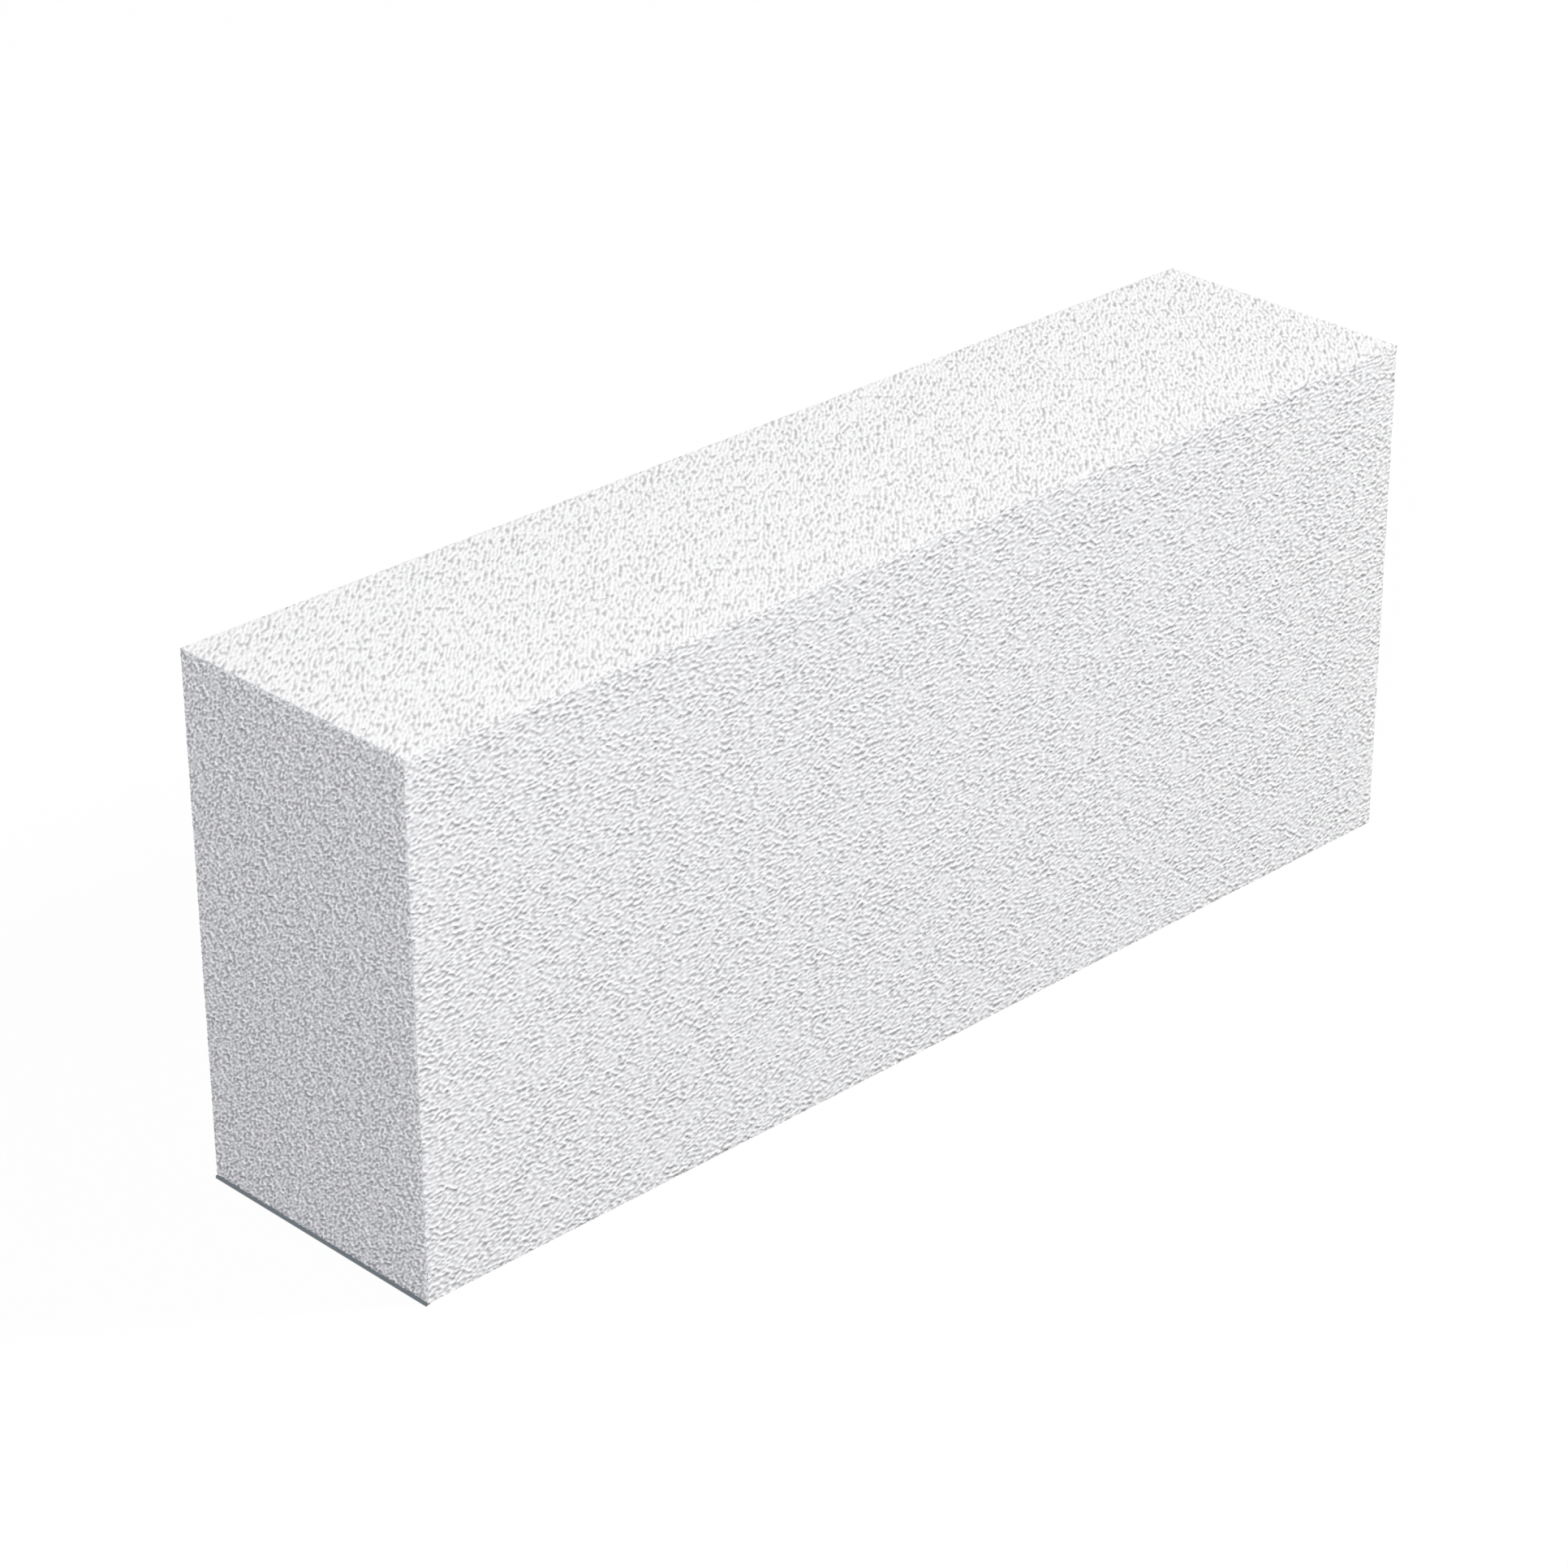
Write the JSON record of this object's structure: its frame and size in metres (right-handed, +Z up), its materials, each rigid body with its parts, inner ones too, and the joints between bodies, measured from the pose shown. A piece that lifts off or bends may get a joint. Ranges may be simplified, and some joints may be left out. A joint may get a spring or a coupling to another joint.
{
  "type": "aerated concrete block",
  "caption": "Plain rectangular aerated concrete wall block with flat bed, side and end faces and narrow broken edges, stood on its bed and laid in thin-joint walls.",
  "frame": {"origin": "middle of the lower bed face, on the floor", "axes": "+X along the block's length, +Y through its thickness, +Z up from bed to bed"},
  "size_m": [0.6, 0.14, 0.25],
  "materials": {
    "aerated_concrete": "matte, off-white, with the fine wrinkled grain of wire-cut aerated concrete"
  },
  "bodies": {
    "root": {"block": "aerated_concrete"}
  },
  "joints": []
}
